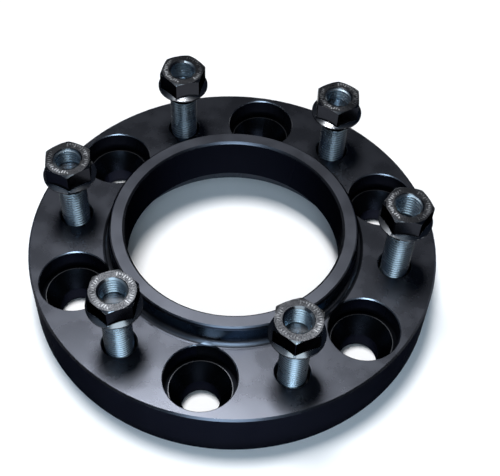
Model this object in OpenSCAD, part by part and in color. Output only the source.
// Six-stud hub-centric wheel spacer: ring, pressed-in studs and the nuts carried on them.
// The axis is Z, the hub side lies on Z = 0, and the lip and the studs point up.

/* [Ring] */
// Outside diameter of the ring
ring_d = 175; // [170:0.5:200]
// Thickness of the ring, from the hub side to the wheel side
ring_t = 25; // [20:0.5:50]
// Chamfer on the ring's two outer edges
ring_chamfer = 0.8; // [0.2:0.1:2]

/* [Wheel lip] */
// Outside diameter of the lip that centres the wheel
lip_d = 106; // [100:0.1:108]
// Height of the lip above the ring's face
lip_h = 10.5; // [6:0.5:15]
// Diameter of the bore through the lip
lip_bore_d = 92.5; // [80:0.5:96]
// Lead-in chamfer on the lip's outer edge
lip_lead_in = 1.2; // [0.3:0.1:2]
// Chamfer on the lip's inner edge
lip_inner_chamfer = 0.9; // [0.2:0.1:1.5]
// Fillet radius at the root of the lip
lip_fillet_r = 3; // [0.5:0.5:4]

/* [Hub recess] */
// Diameter of the recess that sits on the hub
hub_d = 106.1; // [100:0.1:108]
// Depth of the recess
hub_depth = 15; // [8:0.5:18]
// Chamfer at the mouth of the recess, which clears the hub's own fillet
hub_chamfer = 4; // [0.5:0.5:5]

/* [Bolt circle] */
// Diameter of the circle through the stud and lug-hole centres
pcd = 139.7; // [138:0.1:142]
// Number of studs, and of lug holes halfway between them
stud_count = 6; // [4:1:6]

/* [Lug holes] */
// Diameter of the pocket that takes the socket
pocket_d = 29.5; // [27:0.5:31]
// Depth of the pocket's flat floor below the ring's face
pocket_depth = 9; // [8:0.5:13]
// Chamfer on the pocket's rim
pocket_chamfer = 0.4; // [0.1:0.1:1]
// Diameter of the cone seat where it meets the pocket's floor
seat_d = 25.5; // [20:0.5:26]
// Included angle of the cone seat
seat_angle = 60; // [50:1:70]
// Diameter of the hole through the ring
lug_hole_d = 16; // [14:0.5:18]
// Chamfer on the lug hole's edge at the hub side
lug_hole_chamfer = 0.5; // [0.1:0.1:1]

/* [Studs] */
// Thread diameter of the studs
stud_d = 12; // [10:0.5:13]
// Length of thread above the ring's face
stud_reach = 28; // [24:0.5:45]
// Chamfer on the stud's end
stud_tip_chamfer = 1.2; // [0.5:0.1:2]
// Diameter over the knurled shoulder, and of the hole it is pressed into
knurl_d = 14.2; // [13.6:0.1:16]
// Length of the knurled shoulder
knurl_len = 10; // [6:0.5:12]
// Diameter of the stud's head
head_d = 20; // [18:0.5:22]
// Thickness of the stud's head
head_t = 5; // [3:0.5:6]
// Chamfer on the head's outer edge
head_chamfer = 0.6; // [0.2:0.1:1]
// How far the head lies below the hub side
head_sink = 1; // [0.2:0.1:2]
// Radial clearance round the head in its recess
head_clearance = 0.75; // [0.3:0.05:1.5]
// Chamfer on the stud hole's edge at the wheel side
stud_hole_chamfer = 0.4; // [0.1:0.1:1]

/* [Nuts] */
// Width across the nut's flats
nut_af = 18; // [17:0.5:19]
// Height of the nut from its flange's underside to its top face
nut_h = 9.6; // [7:0.1:14]
// How far the hexagon's top corners are turned back towards the axis
nut_corner_cut = 1.3; // [0.4:0.1:1.3]
// Slope of the turned corners
nut_crown_angle = 30; // [15:1:45]
// Diameter of the flange
flange_d = 22; // [22:0.1:23]
// Thickness of the flange's rim
flange_rim_t = 0.6; // [0.4:0.1:1.5]
// Slope of the flange's upper side
flange_slope = 25; // [10:1:35]
// Length of the cone below the flange
cone_len = 5; // [3:0.5:6]
// Diameter of the cone's small end
cone_tip_d = 14.2; // [13.6:0.1:15]
// Radial clearance between the nut's bore and the stud
thread_clearance = 0.05; // [0.02:0.01:0.2]
// Depth of the countersink at both ends of the nut's bore
bore_countersink = 0.5; // [0.2:0.1:0.8]

/* [Hidden] */
// Length of each nut that is screwed onto its stud, and the angle of its hexagon.
NUT_ENGAGED = [6.3, 8.8, 2.9, 5.0, 6.2, 7.1];
NUT_TURN = [26, 37, 4, 33, 31, 45];

STUD_NAMES = [for (i = [1:stud_count]) str("stud_", i)];
NUT_NAMES = [for (i = [1:stud_count]) str("nut_", i)];

$fn = 128;
// Overlap that keeps a cut clear of the face it opens on
cut = 1;

pitch_angle = 360 / stud_count;
// Angle of the first stud, at the back left when the ring is seen from the front
first_stud_angle = 120;
lug_shift = pitch_angle / 2;
seat_depth = (seat_d - lug_hole_d) / 2 / tan(seat_angle / 2);
recess_depth = head_sink + head_t;
recess_d = head_d + 2 * head_clearance;
stud_top = ring_t + stud_reach;
cone_top_d = cone_tip_d + 2 * cone_len * tan(seat_angle / 2);
nut_bore_d = stud_d + 2 * thread_clearance;
hex_sides = 6;

// Angle of a stud, counted clockwise seen from the wheel side
function stud_angle(i) = first_stud_angle - i * pitch_angle;
function from_list(list, i) = list[i % len(list)];

// Puts its child on the bolt circle at an angle
module on_bolt_circle(angle) {
    rotate([0, 0, angle])
        translate([pcd / 2, 0, 0])
            children();
}

// Half section of the ring, to be turned about Z
module ring_section() {
    outer_r = ring_d / 2;
    lip_r = lip_d / 2;
    lip_bore_r = lip_bore_d / 2;
    hub_r = hub_d / 2;
    lip_top = ring_t + lip_h;
    polygon([
        [hub_r + hub_chamfer, 0],
        [outer_r - ring_chamfer, 0],
        [outer_r, ring_chamfer],
        [outer_r, ring_t - ring_chamfer],
        [outer_r - ring_chamfer, ring_t],
        [lip_r, ring_t],
        [lip_r, lip_top - lip_lead_in],
        [lip_r - lip_lead_in, lip_top],
        [lip_bore_r + lip_inner_chamfer, lip_top],
        [lip_bore_r, lip_top - lip_inner_chamfer],
        [lip_bore_r, hub_depth],
        [hub_r, hub_depth],
        [hub_r, hub_chamfer],
    ]);
    difference() {
        translate([lip_r, ring_t])
            square(lip_fillet_r);
        translate([lip_r + lip_fillet_r, ring_t + lip_fillet_r])
            circle(lip_fillet_r);
    }
}

// Cone that breaks the edge of a hole, with its wide end at Z = 0 and its point upwards
module edge_break(hole_d, chamfer) {
    translate([0, 0, -cut])
        cylinder(h = chamfer + cut, d1 = hole_d + 2 * (chamfer + cut), d2 = hole_d);
}

// Pocket, cone seat and through hole of one lug hole
module lug_hole_cut() {
    floor_z = ring_t - pocket_depth;
    translate([0, 0, floor_z])
        cylinder(h = pocket_depth + cut, d = pocket_d);
    translate([0, 0, ring_t])
        mirror([0, 0, 1])
            edge_break(pocket_d, pocket_chamfer);
    translate([0, 0, floor_z - seat_depth])
        cylinder(h = seat_depth, d1 = lug_hole_d, d2 = seat_d);
    translate([0, 0, -cut])
        cylinder(h = floor_z + cut, d = lug_hole_d);
    edge_break(lug_hole_d, lug_hole_chamfer);
}

// Hole for the knurled shoulder and recess for the head of one stud
module stud_hole_cut() {
    translate([0, 0, -cut])
        cylinder(h = recess_depth + cut, d = recess_d);
    cylinder(h = ring_t + cut, d = knurl_d);
    translate([0, 0, ring_t])
        mirror([0, 0, 1])
            edge_break(knurl_d, stud_hole_chamfer);
}

module spacer_ring() {
    color([0.10, 0.10, 0.12])
        difference() {
            rotate_extrude()
                ring_section();
            for (i = [0:stud_count - 1]) {
                on_bolt_circle(stud_angle(i))
                    stud_hole_cut();
                on_bolt_circle(stud_angle(i) + lug_shift)
                    lug_hole_cut();
            }
        }
}

// Half section of a stud, from the head at the hub side to the end of the thread
module stud_section() {
    thread_r = stud_d / 2;
    knurl_top = recess_depth + knurl_len;
    polygon([
        [0, head_sink],
        [head_d / 2 - head_chamfer, head_sink],
        [head_d / 2, head_sink + head_chamfer],
        [head_d / 2, recess_depth],
        [knurl_d / 2, recess_depth],
        [knurl_d / 2, knurl_top],
        [thread_r, knurl_top],
        [thread_r, stud_top - stud_tip_chamfer],
        [thread_r - stud_tip_chamfer, stud_top],
        [0, stud_top],
    ]);
}

module wheel_stud(i) {
    color([0.70, 0.75, 0.80])
        on_bolt_circle(stud_angle(i))
            rotate_extrude()
                stud_section();
}

// Half section of the nut's cone and flange, from the cone's small end upwards
module flange_section() {
    flange_r = flange_d / 2;
    inner_r = cone_tip_d / 2;
    rim_top = cone_len + flange_rim_t;
    polygon([
        [0, 0],
        [inner_r, 0],
        [cone_top_d / 2, cone_len],
        [flange_r, cone_len],
        [flange_r, rim_top],
        [inner_r, rim_top + (flange_r - inner_r) * tan(flange_slope)],
        [0, rim_top + (flange_r - inner_r) * tan(flange_slope)],
    ]);
}

// Hexagon with its upper corners turned down to a crown
module nut_hexagon() {
    corner_d = nut_af / cos(180 / hex_sides);
    crown_d = corner_d - 2 * nut_corner_cut;
    crown_base_d = crown_d + 2 * nut_h / tan(nut_crown_angle);
    translate([0, 0, cone_len])
        intersection() {
            cylinder(h = nut_h, d = corner_d, $fn = hex_sides);
            cylinder(h = nut_h, d1 = crown_base_d, d2 = crown_d);
        }
}

// A nut with the small end of its cone at Z = 0
module flange_nut() {
    top = cone_len + nut_h;
    difference() {
        union() {
            rotate_extrude()
                flange_section();
            nut_hexagon();
        }
        translate([0, 0, -cut])
            cylinder(h = top + 2 * cut, d = nut_bore_d);
        edge_break(nut_bore_d, bore_countersink);
        translate([0, 0, top])
            mirror([0, 0, 1])
                edge_break(nut_bore_d, bore_countersink);
    }
}

module carried_nut(i) {
    color([0.14, 0.14, 0.16])
        on_bolt_circle(stud_angle(i))
            translate([0, 0, stud_top - from_list(NUT_ENGAGED, i)])
                rotate([0, 0, from_list(NUT_TURN, i) - stud_angle(i)])
                    flange_nut();
}

spacer_ring();
for (i = [0:stud_count - 1]) {
    wheel_stud(i);
    carried_nut(i);
}
